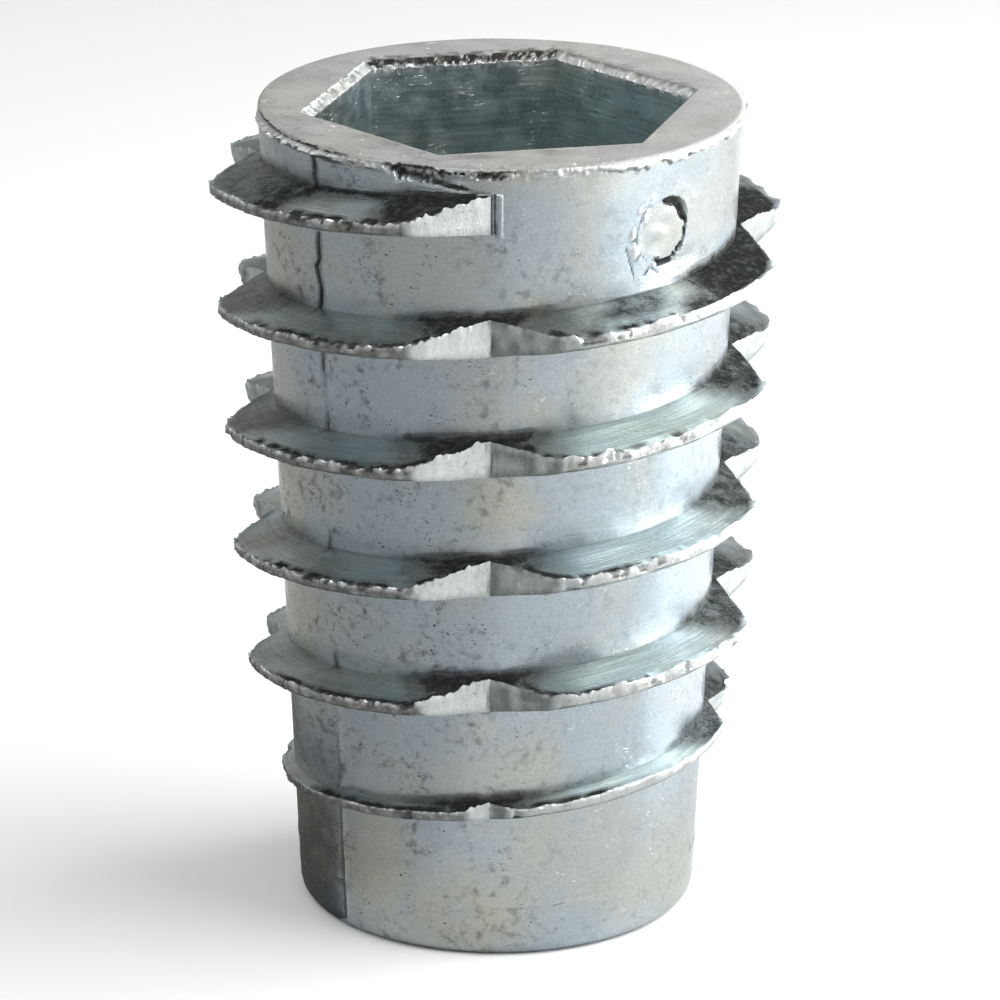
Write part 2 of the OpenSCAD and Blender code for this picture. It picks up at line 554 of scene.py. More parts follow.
# The upper flank: soot by the notches, soot and painted shade behind the burr, and darker in the root
def flankSootAndShade(point, ridge, share, near):
    turn, tall = ridge.turn, min(1, ridge.tall)
    if ridge.angle > sootAndShade["firstTurnTo"]:
        patch = band(turn + 5 * ripple(point, 1.2, 17), *sootAndShade["cleanPatch"], 7) * (1 - ease(0.6, 1, share))
        film = sootAndShade["firstTurn"] * band(turn, *sootAndShade["leftZone"], 10)
        film *= mix(0.64, 1, ease(*sootAndShade["leftFilm"], turn))
        near = max(near, film) * (1 - 0.85 * patch)
    if sootAndShade["filmZone"][0] < ridge.angle < sootAndShade["filmZone"][1]:
        near = max(near, sootAndShade["film"] * (1 + 0.8 * ripple(point, 0.9, 19)))
    # Soot and painted shade in a band behind the burr
    behind = 1 - ease(0.5, 1, share * ridge.tall / sootAndShade["edge"])
    behind *= max(0.2, 0.85 + 1.2 * ripple(point, 0.4, 12) * tall ** 2)
    behind *= mix(0.45, 1, band(turn, *sootAndShade["edgeFront"], 12)) * mix(0.7, 1, tall)
    behind *= max(sootAndShade["edgeElse"], mostOf(sootAndShade["edgeZones"], turn))
    behind = max(behind, burrGap(point, ridge) * (share < 0.2))
    return max(near, behind, sootAndShade["root"] * ease(0.8, 1, share))


# The crest, the faces of the notches and the corner between those
def crestSootAndShade(point, ridge, share, notch):
    turn, away = ridge.turn, ridge.away
    # Grit on the crest: soot, and painted shade on the left, away from the lit right-hand side
    gritty = sootAndShade["crest"] * (1 - band(turn, *sootAndShade["cleanLitCrest"], 14)) + 0.45 * ripple(point, 0.3, 14)
    if share > 0.9 or turn > 0 and share > 0.7:
        gritty = max(gritty, burrGap(point, ridge))
    onFace = notch["faces"][away > 0][0] * (1 + 1.2 * ripple(point, 0.5, 15))
    corner = 0.3 + 1.4 * ripple(Vector((lapOf(ridge), 0, point.z)), 0.5, 45)
    corner *= 0.8 * (1 - ease(0.3, 1.1, abs(away)))
    # The lower edge of the crest (share 0) is painted with shade
    return max(mix(gritty, onFace, ridge.cut), corner, sootAndShade["underCrestShade"] * (share == 0))


def threadDirtAndShade(point, ridge, name, share):
    if not ridge.inside:
        return 0
    notch = notchOf(ridge)
    near = notchSoot(ridge, notch, mix(0.62, 1, share) if name == "flankAbove" else 1)
    if name == "flankAbove":
        return flankSootAndShade(point, ridge, share, near)
    if name == "wallAbove":
        smear = mix(sootAndShade["root"], 0.95, near) * (1 + 0.7 * near * ripple(point, 0.35, 47))
        return (1 - ease(0, mix(0.06, 0.34, near), share)) * smear
    if name == "crest":
        return crestSootAndShade(point, ridge, share, notch)
    # Painted shade on the flank just under the crest
    if name == "flankBelow" and share > 0.8:
        return sootAndShade["underCrestShade"] + 0.3 * ripple(point, 0.5, 13)
    return 0


# Where the thread stops at the driving end: a gap in the wall, and a thin lip past it
threadStop = {
    "gap": (0.4, 1.15),
    "lip": (1.55, 2.7),
    "gapDepth": 0.05,
    "lipHeight": 0.06,
    "from": -0.64,           # below and above the middle of the first turn
    "upto": 0.6,
    "reach": 4,              # degrees past the end of the thread that are cut finely
}


def stopMarks(angle, z):
    if not 0 < angle < threadStop["reach"]:
        return 0, 0
    across = band(z - threadTop, threadStop["from"], threadStop["upto"], 0.04)
    gap = across * band(angle, *threadStop["gap"], 0.2)
    lip = across * band(angle, *threadStop["lip"], 0.25)
    stain = 0.5 + 0.6 * ripple(Vector((2.3, 0, z)), 0.5, 39)
    return lip * threadStop["lipHeight"] - gap * threadStop["gapDepth"], gap * stain


def woodThreadSkin(lowRing, highRing, lowZ, highZ):
    rows = sectionRows()
    degrees = 360 / cutting["fineColumns"]

    def pointAt(column, row):
        name, share, _, bead = row
        ridge = ridgeAt(column * degrees)
        radius, z = sectionPoint(ridge, name, share)
        angle = columnAngle(column, z)
        point = place(angle, radius, z)
        out, up, bright = burrAt(point, ridge, name, share, bead)
        out += wallUneven(point)
        dirtAndShade = threadDirtAndShade(point, ridge, name, share)
        if name.startswith("wall") or share == 1 or not ridge.inside:
            for moved, marked in (seamMarks(fromSeam(column * degrees), z), stopMarks(ridge.angle, z)):
                out += moved
                dirtAndShade = max(dirtAndShade, marked)
        dirtAndShade *= 1 - 0.8 * min(1, bright)
        return z, place(angle, radius + out, z + up), dirtAndShade, bright

    def skinAt(column, row):
        ridge = ridgeAt((column + 0.5 * cutting["fineStep"]) * degrees)
        name, share, _, _ = row
        if not ridge.inside or name.startswith("wall") or (name == "flankAbove" and share == 1):
            return "wall"
        if name == "crest" and share < 1:
            return "notch" if ridge.onNotch else "crest"
        return "flank"

    def isFine(column, row):
        name, _, fine, _ = row
        angle = (column + 0.5) * degrees
        atStop = 0 <= angle <= threadStop["reach"] and not name.startswith("wall")
        return atStop or (fine and threadEnd <= angle <= 2 * threadStop["reach"])

    helicalSheet(rows, woodThread["pitch"], threadTop, lowRing, highRing, lowZ, highZ,
                 cutting["fineStep"], pointAt, skinAt, isFine, inward=False)


# A closed ring on the body, with its points on the thread's columns and the joint line on it
def bodyRing(count, radiusAt, z, dirtAt=None, shineAt=None):
    ring = []
    for k in range(count):
        column = k * cutting["fineColumns"] / count
        angle = columnAngle(column, z)
        seamOut, dirtAndShade = seamMarks(fromSeam(column * 360 / cutting["fineColumns"]), z)
        if dirtAt:
            dirtAndShade = max(dirtAndShade, dirtAt(angle, z))
        point = place(angle, radiusAt(angle, z) + seamOut, z)
        ring.append(addPoint(point, dirtAndShade, shineAt(angle, z) if shineAt else 0))
    return ring


# Rim of the driving end: a rolled burr with a hairline above it on the left, an open crack
# at the front, and a torn flash on the right. Zones are (start, stop) in degrees.
rim = {
    "threadTo": 0.75,        # below the driving end, where the thread's rows end
    "from": 0.62,            # and where the rings of the rim start
    "drops": [0.52, 0.43, 0.36, 0.3, 0.25, 0.21, 0.17, 0.13, 0.095, 0.06, 0.025],
    "chamfer": 0.12,
    "burrZone": (-82, -37),
    "beadZone": (-37, 24),   # single beads on from the burr
    "burrDrop": 0.21,
    "burrHalf": 0.13,
    "burr": 0.09,
    "bead": 0.12,
    "beadSize": 0.24,
    "hairline": 0.085,       # how far below the end the hairline runs
    "crackZone": (-25, 5),
    "crackDrop": 0.22,
    "crackHalf": 0.1,
    "crackDepth": 0.18,
    "flashZone": (26, 160),
    "flash": 0.14,
    "flashDrop": 0.26,
    "crease": (-25, -6),     # a fold that runs down from the crack to the first turn
    "creaseTop": 0.18,
    "creaseFoot": 0.68,
    "creaseDepth": 0.05,
    "creaseReach": 0.45,
    # Painted shade on the wall above the fold, between these angles
    "creaseShade": (-20, -8),
}


def zoneShare(angle, zone, soft=4):
    return band(fromFront(angle), *rim[zone], soft)


# Middle and half width of the crack under the rim
def rimCrack(angle):
    opened = zoneShare(angle, "crackZone")
    ragged = ripple(place(angle, 4, 0), 0.5, 21)
    fine = ripple(place(angle, 7, 0), 0.14, 27)
    drop = mix(rim["hairline"], rim["crackDrop"], opened) + (0.07 * ragged + 0.04 * fine) * opened
    return drop, mix(0.022, rim["crackHalf"], opened) * max(0, 1 + 1.5 * ragged + 1.1 * fine)


def crackShare(angle, z):
    drop, half = rimCrack(angle)
    share = max(zoneShare(angle, "crackZone"), 0.6 * zoneShare(angle, "burrZone", 6))
    if half <= 0:
        return 0
    return share * (1 - ease(half * 0.5, half * 1.7, abs(height - z - drop)))


# Height above the middle of the crease, and how much of it there is at this angle
def fromCrease(angle, z):
    start, stop = rim["crease"]
    along = (angle - start) / (stop - start)
    middle = height - mix(rim["creaseTop"], rim["creaseFoot"], along)
    bend = 0.06 * ripple(place(angle, 5, 0), 0.7, 24) + 0.03 * ripple(place(angle, 5, 0), 0.2, 28)
    return z - middle - bend, band(along, 0, 1, 0.08)


# A roll of flash over the edge, torn off below at an uneven line
def rimFlash(angle, drop):
    onEdge = place(angle, 7, 0)
    torn = rim["flashDrop"] + 0.2 * ripple(onEdge, 0.45, 23) + 0.1 * ripple(onEdge, 0.16, 25)
    across = drop / max(0.05, torn) * 2 - 1
    return zoneShare(angle, "flashZone", 5) * math.sqrt(max(0, 1 - across * across))


# Brightness and height of the burr and beads
def rimBurr(angle, z):
    point = place(angle, coreRadius(z), z)
    onLeft = zoneShare(angle, "burrZone")
    share = max(onLeft, 0.5 * zoneShare(angle, "beadZone"))
    share *= 1 - ease(0.3, 1, abs(height - z - rim["burrDrop"]) / rim["burrHalf"])
    bead = mixedGrains(point, rim["beadSize"], 22, 26)
    return share * min(1, 0.65 * onLeft + 1.6 * bead), share * (rim["burr"] * onLeft + rim["bead"] * bead)


def rimRadius(angle, z):
    drop = height - z
    radius = coreRadius(z) + wallUneven(place(angle, coreRadius(z), z))
    if drop < rim["chamfer"]:
        radius -= rim["chamfer"] * (1 - math.sqrt(1 - (1 - drop / rim["chamfer"]) ** 2))
    radius += rimBurr(angle, z)[1] - crackShare(angle, z) * rim["crackDepth"]
    return radius + rimFlash(angle, drop) * rim["flash"]


def rimDirt(angle, z):
    grey = 0.3 * zoneShare(angle, "crackZone", 8) * band(height - z, 0.06, 0.42, 0.08)
    return max(crackShare(angle, z), grey) * (1 - 0.8 * min(1, 1.2 * rimBurr(angle, z)[0]))


def rimShine(angle, z):
    return max(rimFlash(angle, height - z), rimBurr(angle, z)[0])


def rimRings(highRing):
    previous = bodyRing(coarseColumns, rimRadius, height - rim["from"], rimDirt)
    bridge(highRing, previous, "wall")
    for drop in rim["drops"]:
        ring = bodyRing(cutting["fineColumns"], rimRadius, height - drop, rimDirt, rimShine)
        bridge(previous, ring, "crest" if drop < 0.35 else "wall")
        previous = ring
    return previous


# Hex socket for the driving key. The three far edges of its mouth are marked, each in its
# own way: (start, stop) in degrees.
socket = {
    "acrossFlats": 10,
    "depth": 8,
    "turn": -15,
    "bevel": 0.25,
    "bevelShares": (0.25, 0.5, 0.75, 1, 1.35),
    "wallRings": 8,
    "faceRings": 2,
    "frosted": (105, 165),   # a white, granular burr, with painted shade on the face beside it
    "sooty": (165, 225),     # dark residue, with beads below it
    "chipped": (225, 285),
    "bead": 0.085,
    "beadSize": 0.2,
    "frostSize": 0.15,
    "chip": 0.09,
    "chipSize": 0.4,
    "smudge": 0.55,          # width of the dark edging on the end face
    "smudgeRings": (1, 0.55, 0.2),
    "film": 0.27,            # thin residue on the front of the end face
    "filmZone": (-48, 30),
    "wave": 0.006,
    "waveSize": 1.6,
}


def hexRadius(angle, apothem):
    return apothem / cosDeg((angle - socket["turn"]) % 60 - 30)


# A ring on the bevel of the mouth, at a share of the way from the end face to the wall
def mouthRing(share):
    z = height - socket["bevel"] * share
    apothem = socket["acrossFlats"] / 2 + socket["bevel"] * (1 - min(1, share))
    onBevel = 0 < share < 1.2

    def pointAt(angle):
        radius = hexRadius(angle, apothem)
        point = place(angle, radius, z)
        frosted, sooty, chipped = (band(angle, *socket[name], 1) for name in ("frosted", "sooty", "chipped"))
        ragged = ripple(point, 0.22, 35)
        grain = mixedGrains(point, mix(socket["beadSize"], socket["frostSize"], frosted), 31, 36, 0.6)
        white = frosted * ease(0.15, 0.5, share + 0.6 * ragged) * (0.55 + 0.45 * min(1, 2 * grain))
        beaded = sooty * ease(0.7, 0.85, share + 0.25 * ragged) * min(1, 2 * grain)
        chip = max(0, ripple(point, socket["chipSize"], 37) + 0.5 * ragged) * socket["chip"] * chipped
        darkening = 0.82 + 0.7 * ragged + 0.8 * ripple(point, 0.09, 46) if share < 0.9 else 0.3
        # Soot on the sooty edge, and painted shade on the bevel beside the frosted burr
        dirtAndShade = sooty * darkening + 0.35 * frosted * (share < 0.3)
        dirtAndShade += chipped * (0.34 + 0.3 * ragged) * onBevel
        burr = (0.7 * white + 1.6 * beaded) * grain * socket["bead"] * onBevel
        edge = 0.5 * chipped * (share == 1) * ease(-0.3, 0.2, ragged)
        radius += chip * (share < 0.9) - burr * 0.6
        moved = place(angle, radius, z + burr * 0.6 - chip * 0.3 * (share > 0))
        return addPoint(moved, dirtAndShade * (1 - edge), max(white, beaded, edge))

    return ringOf(cutting["socketColumns"], pointAt)


def socketRing(z):
    def pointAt(angle):
        radius = hexRadius(angle, socket["acrossFlats"] / 2)
        wave = ripple(place(angle, radius, z), socket["waveSize"], 33) * socket["wave"]
        return addPoint(place(angle, radius + wave, z))

    return ringOf(coarseColumns, pointAt)


def faceFilm(point, angle):
    there = band(fromFront(angle), *socket["filmZone"], 22)
    return socket["film"] * there * (1 + 1.4 * ripple(point, 0.7, 48))


# A ring of the end face, on the body's columns
def faceRing(share, apothem):
    ring = []
    for k in range(coarseColumns):
        angle = columnAngle(k * cutting["fineStep"], height, 1 - share)
        radius = mix(coreRadius(height) - rim["chamfer"], hexRadius(angle, apothem), share)
        point = place(angle, radius, height)
        lift = ripple(point, 1.3, 34) * 0.008 - 0.004
        ring.append(addPoint(place(angle, radius, height + lift), share * faceFilm(point, angle)))
    return ring


# A ring of it close to the socket, with the dark edging: soot by the sooty edge, painted shade by the frosted
# one
def smudgeRing(share, apothem):
    def pointAt(angle):
        point = place(angle, hexRadius(angle, apothem + socket["smudge"] * share), height)
        marked = max(band(angle, *socket["sooty"], 3), 0.6 * band(angle, *socket["frosted"], 3))
        cloudy = 0.38 + 1.1 * ripple(point, 0.45, 38) + 0.7 * ripple(point, 0.16, 40)
        marked *= ease(share - 0.35, share + 0.25, cloudy) * mix(0.75, 0.4, share)
        return addPoint(point, max(faceFilm(point, angle), marked))

    return ringOf(coarseColumns, pointAt)


def endFaceRings(rimRing):
    apothem = socket["acrossFlats"] / 2 + socket["bevel"]
    rings = [rimRing]
    rings += [faceRing(n / socket["faceRings"], apothem) for n in range(socket["faceRings"])]
    rings += [smudgeRing(share, apothem) for share in socket["smudgeRings"]]
    rings.append(mouthRing(0))
    bridgeAll(rings, "endFace")
    return rings[-1]


def socketWalls(mouth):
    bevel = [mouth] + [mouthRing(share) for share in socket["bevelShares"]]
    bridgeAll(bevel, "crest")
    startZ = height - socket["bevel"] * 2
    floorZ = height - socket["depth"]
    shares = [k / socket["wallRings"] for k in range(socket["wallRings"] + 1)]
    walls = [socketRing(mix(startZ, floorZ, share ** 1.3)) for share in shares]
    bridgeAll(bevel[-1:] + walls, "socket")
    return walls[-1], floorZ


# Fine thread for the bolt, cut right through the bore
boltThread = {
    "pitch": 1.5,
    "minorRadius": 4.188,
    "majorRadius": 5,
    "countersink": 0.7,
    "ledgeBevel": 0.6,
    "dirtAndShade": 0.3,
    "runOut": 1.3,           # slope at which the groove runs out below the ledge
}


def boltThreadSkin(footRing, ledgeRing, ledgeZ):
    minor, major = boltThread["minorRadius"], boltThread["majorRadius"]
    # Half width of the groove at its bottom and at the bore, for a 60 degree profile
    narrow = boltThread["pitch"] / 16
    wide = narrow + (major - minor) * tanDeg(30)
    upper = [(narrow, major), ((narrow + wide) / 2, (minor + major) / 2), (wide, minor)]
    rows = [(-boltThread["pitch"] / 2, minor)]
    rows += [(-offset, radius) for offset, radius in reversed(upper)] + upper
    degrees = 360 / cutting["boreColumns"]

    def pointAt(column, row):
        offset, radius = row
        z = boltThread["pitch"] * column * degrees / 360 + offset
        radius = min(radius, minor + max(0, ledgeZ - z) * boltThread["runOut"])
        countersunk = minor + boltThread["countersink"] - z
        bevelled = minor + boltThread["ledgeBevel"] - ledgeZ + z
        return z, place(column * degrees, max(radius, countersunk, bevelled), z), boltThread["dirtAndShade"], 0

    helicalSheet(rows, boltThread["pitch"], 0, footRing, ledgeRing, 0, ledgeZ, 1, pointAt,
                 lambda column, row: "socket", lambda column, row: False, inward=True)


def boreRing(wider, z):
    radius = boltThread["minorRadius"] + wider
    return ringOf(cutting["boreColumns"], lambda angle: addPoint(place(angle, radius, z), 0.2))


def footRings(boreFoot):
    draft = math.atan((body["topRadius"] - body["footRadius"]) / height)
    bend = body["footRound"]
    middle = body["footRadius"] + bend * math.tan(draft) - bend / math.cos(draft)
    previous = boreFoot
    for k in range(body["footRoundSteps"] + 1):
        turn = mix(0, math.pi / 2 - draft, k / body["footRoundSteps"])
        z = bend - bend * math.cos(turn)
        radius = middle + bend * math.sin(turn)
        ring = bodyRing(coarseColumns, lambda angle, z: radius + wallUneven(place(angle, radius, z)), z)
        bridge(previous, ring, "wall")
        previous = ring
    return previous, z


# Round mark left by the gate: a deep groove on its right, flakes on its left, and cuts
# beside it, each from (across, up) to (across, up)
gateMark = {
    "angle": 44,
    "drop": 2.4,
    "radius": 0.91,
    "groove": 0.05,          # half the width of the groove, where it is narrow and where wide
    "wideGroove": 0.14,
    "depth": 0.24,
    "grooveTurn": (-108, 92),
    "wideTurn": (14, 86),
    "thinTurn": (120, 232),  # a hairline closes the circle
    "flakeTurn": (112, 215),
    "flake": 0.06,
    "flakeSize": 0.34,
    "cutDepth": 0.03,
    "cuts": [
        ((-1.36, -0.29), (-1.07, -1.16)),
        ((-0.72, -1.25), (-0.5, -1.02)),
        ((-0.5, -1.02), (-0.22, -1.22)),
    ],
    "reach": 1.6,            # how far from its middle the faces are cut finer
}


# Distance of (x, y) from the line between two places
def fromLine(x, y, start, end):
    along = Vector(end) - Vector(start)
    offset = Vector((x, y)) - Vector(start)
    share = min(1, max(0, offset.dot(along) / along.length_squared))
    return (offset - along * share).length


# Cuts finer faces for small marks, then moves the points there and marks them
def stamp(cutsHere, marksHere, markAt):
    for cuts, longest in ((1, 0.3), (2, 0)):
        near = [f for f in bm.faces if cutsHere(f.calc_center_median() / mm)]
        edges = list({e for f in near for e in f.edges if e.calc_length() > longest * mm})
        bmesh.ops.subdivide_edges(bm, edges=edges, cuts=cuts, use_grid_fill=True)
    for v in bm.verts:
        point = v.co / mm
        if marksHere(point):
            moved, *marks = markAt(point)
            v.co += moved
            for layer, amount in zip((dirtAndShadeLayer, shineLayer, strawLayer), marks):
                v[layer] = max(v[layer], min(1, amount))


def stampGateMark():
    middleZ = height - gateMark["drop"]
    middle = place(gateMark["angle"], coreRadius(middleZ), middleZ)
    across = place(gateMark["angle"] + 90, 1, 0)
    outward = place(gateMark["angle"], 1, 0)

    def cutsHere(point):
        return (point - middle).length < gateMark["reach"]

    def marksHere(point):
        return (point - middle).length <= gateMark["reach"] + 0.4 and point.xy.length >= body["footRadius"]

    def markAt(point):
        x, y = (point - middle).dot(across), point.z - middleZ
        away = math.hypot(x, y) - gateMark["radius"] + ripple(point, 0.3, 41) * 0.06
        turn = math.degrees(math.atan2(y, x))
        half = mix(gateMark["groove"], gateMark["wideGroove"], band(turn, *gateMark["wideTurn"], 12))
        groove = band(turn, *gateMark["grooveTurn"], 8) * (1 - ease(half * 0.5, half * 1.3, abs(away)))
        cut = 0.75 * max(1 - ease(0.008, 0.04, fromLine(x, y, *ends)) for ends in gateMark["cuts"])
        thin = 0.55 * band(turn % 360, *gateMark["thinTurn"], 8) * (1 - ease(0.015, 0.05, abs(away - 0.1)))
        inside = 1 - ease(-0.12, 0, away)
        flakes = band(turn % 360, *gateMark["flakeTurn"], 10) * band(away, -0.1, 0.34, 0.08)
        flakes *= mixedGrains(point, gateMark["flakeSize"], 42, 43, 0.4)
        lift = flakes * gateMark["flake"] + inside * ripple(point, 0.4, 44) * 0.03
        lift -= groove * gateMark["depth"] + max(cut, thin) * gateMark["cutDepth"]
        return outward * mm * lift, max(groove, cut, thin, inside * 0.12), flakes * 1.2, inside * 0.4

    stamp(cutsHere, marksHere, markAt)


# The fold under the front of the rim: its upper side stands out a little over a dark line, and above it is
# painted shade
def stampCrease():
    def marksHere(point):
        away, there = fromCrease(turnOf(point), point.z)
        return there > 0 and abs(away) < rim["creaseReach"] and point.xy.length > body["footRadius"]

    def cutsHere(point):
        return marksHere(point) and point.z < height - rim["drops"][0]

    def markAt(point):
        turn = turnOf(point)
        away, there = fromCrease(turn, point.z)
        line = there * (1 - ease(0.015, 0.07, abs(away)))
        lip = there * band(away, 0.08, 0.24, 0.06)
        # Painted shade between the crack and the fold
        shaded = 0.5 * there * band(turn, *rim["creaseShade"], 3) * band(away, 0.02, 0.36, 0.05)
        return place(turn, 1, 0) * mm * (0.5 * lip - line) * rim["creaseDepth"], max(0.85 * line, shaded)

    stamp(cutsHere, marksHere, markAt)


def addObject(name, data):
    made = bpy.data.objects.new(name, data)
    bpy.context.scene.collection.objects.link(made)
    return made


def buildInsert():
    highZ = height - rim["threadTo"]
    print("insert: outer skin with the wood thread")
    boreFoot = boreRing(boltThread["countersink"], 0)
    lowRing, lowZ = footRings(boreFoot)
    highRing = bodyRing(coarseColumns, rimRadius, highZ)
    woodThreadSkin(lowRing, highRing, lowZ, highZ)
    print("insert: rim, end face and hex socket")
    mouth = endFaceRings(rimRings(highRing))
    socketFoot, ledgeZ = socketWalls(mouth)
    ledge = boreRing(boltThread["ledgeBevel"], ledgeZ)
    bridge(socketFoot, ledge, "socket")
    print("insert: bolt thread")
    boltThreadSkin(boreFoot, ledge, ledgeZ)
    print("insert: gate mark and crease")
    stampGateMark()
    stampCrease()
    data = bpy.data.meshes.new("insertCasting")
    bm.to_mesh(data)
    bm.free()
    data.shade_smooth()
    data.set_sharp_from_angle(angle=math.radians(cutting["sharpFrom"]))
    triangles = sum(len(p.vertices) - 2 for p in data.polygons)
    print("insert:", len(data.vertices), "points,", triangles, "triangles")
    return addObject("insertCasting", data)


# Makes a shader node, with its inputs set or joined and its settings given by name
def node(tree, kind, inputs=None, **settings):
    made = tree.nodes.new(kind)
    for name, value in settings.items():
        setattr(made, name, value)
    for name, value in (inputs or {}).items():
        if isinstance(value, bpy.types.NodeSocket):
            tree.links.new(value, made.inputs[name])
        else:
            made.inputs[name].default_value = value
    return made


def clouds(tree, vector, size, detail=3, distortion=0):
    inputs = {"Vector": vector, "Scale": 1 / size, "Detail": detail, "Distortion": distortion}
    return node(tree, "ShaderNodeTexNoise", inputs).outputs["Fac"]


def between(tree, value, low, high, start=0, end=1):
    inputs = {"Value": value, "From Min": low, "From Max": high, "To Min": start, "To Max": end}
    return node(tree, "ShaderNodeMapRange", inputs, interpolation_type="SMOOTHSTEP").outputs["Result"]


# The colour inputs and output of this node are numbers 6, 7 and 2
def blendColour(tree, share, first, second):
    return node(tree, "ShaderNodeMix", {0: share, 6: first, 7: second}, data_type="RGBA").outputs[2]


def reckon(tree, operation, first, second, third=0.0):
    return node(tree, "ShaderNodeMath", {0: first, 1: second, 2: third}, operation=operation).outputs[0]


def times(tree, first, second):
    return reckon(tree, "MULTIPLY", first, second)


def timesPlus(tree, first, second, third):
    return reckon(tree, "MULTIPLY_ADD", first, second, third)


def vectors(tree, operation, inputs, output=0):
    return node(tree, "ShaderNodeVectorMath", inputs, operation=operation).outputs[output]


def attribute(tree, name):
    return node(tree, "ShaderNodeAttribute", attribute_name=name).outputs["Fac"]


# Position on the part in millimetres, stretched so that marks run round it, up it or level
def positions(tree):
    onPart = node(tree, "ShaderNodeTexCoord").outputs["Object"]
    point = vectors(tree, "SCALE", {0: onPart, "Scale": 1 / mm})
    flat = vectors(tree, "MULTIPLY", {0: point, 1: (1, 1, 0)})
    radius = vectors(tree, "LENGTH", {0: flat}, "Value")
    direction = vectors(tree, "NORMALIZE", {0: flat})
    lifted = node(tree, "ShaderNodeCombineXYZ", {"Z": times(tree, radius, 12)}).outputs[0]
    spotted = place(zincCommon["spottedSide"], 1, 0)
    return {
        "plain": point,
        "side": vectors(tree, "DOT_PRODUCT", {0: direction, 1: spotted}, "Value"),  # 1 on the spotted side
        "round": vectors(tree, "MULTIPLY_ADD", {0: direction, 1: (4, 4, 4), 2: lifted}),
        "up": vectors(tree, "MULTIPLY", {0: point, 1: (7, 7, 0.8)}),
        "dashed": vectors(tree, "MULTIPLY", {0: point, 1: (1, 1, 2.2)}),
        "level": vectors(tree, "MULTIPLY", {0: point, 1: (0.7, 0.7, 10)}),
    }


# Looks of the plated zinc, one for each kind of surface. Sizes are in millimetres.
zincCommon = {
    "spottedSide": -48,                # angle of the side with the most spots and pits
    "bareAndHighlight": (0.84, 0.86, 0.86),        # flakes and burrs: bare metal, with painted highlight on the burrs
    "metal": 1,
    "pitSize": 0.12,
    "grainSize": 0.09,
    "relief": 0.011,
}
zincLooks = {
    "wall": {
        "cool": (0.455, 0.525, 0.568), "warm": (0.51, 0.535, 0.505), "straw": (0.56, 0.545, 0.455),
        "dark": (0.035, 0.035, 0.032), "patch": 3.8, "spots": 0.6, "spotSize": 0.3,
        "pits": 1, "flecks": 0.45, "fleckSize": 0.2, "strokes": 0.02,
        "rough": (0.24, 0.34), "grain": 0.35, "brush": 0.3, "way": "level",
    },
    "flank": {
        "cool": (0.46, 0.535, 0.545), "warm": (0.46, 0.495, 0.46), "straw": (0.46, 0.44, 0.39),
        "dark": (0.012, 0.012, 0.011), "patch": 2.4, "spots": 0.2, "spotSize": 0.2,
        "pits": 0.4, "pitSize": 0.1, "flecks": 0.25, "fleckSize": 0.14, "strokes": 0.13,
        "rough": (0.28, 0.40), "grain": 0.6, "grainSize": 0.08, "brush": 1.3, "way": "round",
    },
    "crest": {
        "cool": (0.47, 0.50, 0.50), "warm": (0.49, 0.49, 0.455), "straw": (0.50, 0.485, 0.42),
        "dark": (0.02, 0.02, 0.018), "patch": 1.2, "spots": 0.4, "spotSize": 0.2,
        "pits": 0.8, "flecks": 0.6, "fleckSize": 0.16, "strokes": 0,
        "rough": (0.28, 0.46), "grain": 2.2, "brush": 0, "way": "plain",
    },
    "notch": {
        "cool": (0.55, 0.60, 0.60), "warm": (0.54, 0.585, 0.55), "straw": (0.56, 0.555, 0.50),
        "dark": (0.04, 0.045, 0.042), "patch": 1.4, "spots": 0.3, "spotSize": 0.18,
        "pits": 0.8, "flecks": 0.9, "fleckSize": 0.2, "strokes": 0.07,
        "rough": (0.28, 0.42), "grain": 1.2, "brush": 0.5, "way": "up",
    },
    "endFace": {
        "cool": (0.313, 0.318, 0.313), "warm": (0.333, 0.328, 0.308), "straw": (0.343, 0.323, 0.29),
        "dark": (0.07, 0.07, 0.066), "patch": 2.6, "spots": 0.3, "spotSize": 0.3,
        "pits": 0.5, "flecks": 0.7, "fleckSize": 0.18, "strokes": 0.1,
        "rough": (0.72, 0.82), "metal": 0.3, "grain": 1.2, "brush": 0.3, "way": "level",
    },
    # Painted light: the socket is a lighter copy of the plating, to make up for the little light that reaches
    # into it
    "socket": {
        "cool": (0.53, 0.62, 0.64), "warm": (0.55, 0.61, 0.585), "straw": (0.54, 0.58, 0.52),
        "dark": (0.05, 0.06, 0.06), "patch": 2.6, "spots": 0.12, "spotSize": 0.2,
        "pits": 0.2, "flecks": 0.9, "fleckSize": 0.17, "strokes": 0.14,
        "rough": (0.26, 0.40), "grain": 0.5, "grainSize": 0.1, "brush": 0.8, "way": "level",
    },
}


# Blue, grey and straw patches of the plating
def platingTint(tree, plain, look):
    patches = between(tree, clouds(tree, plain, look["patch"], 4, 0.3), 0.38, 0.68)
    tint = blendColour(tree, patches, (*look["cool"], 1), (*look["warm"], 1))
    straw = timesPlus(tree, clouds(tree, plain, 0.9, 4, 0.4), 0.6, attribute(tree, "straw"))
    return blendColour(tree, between(tree, straw, 0.35, 1.15, 0, 0.8), tint, (*look["straw"], 1))


# Fine mottle and brush strokes, with dull soft spots in clusters
def platingMottle(tree, plain, look, fine, strokes, onSide):
    mottle = between(tree, fine, 0.25, 0.75, 0.92, 1.07)
    brushed = between(tree, strokes, 0.3, 0.7, 1 - look["strokes"], 1 + look["strokes"])
    gathered = between(tree, clouds(tree, plain, 1.9, 3, 0.5), 0.42, 0.60)
    dull = between(tree, clouds(tree, plain, look["spotSize"], 6, 0.3), 0.48, 0.72)
    dull = times(tree, dull, times(tree, gathered, onSide))
    dull = times(tree, dull, -look["spots"])
    return times(tree, times(tree, mottle, brushed), reckon(tree, "ADD", dull, 1.0))


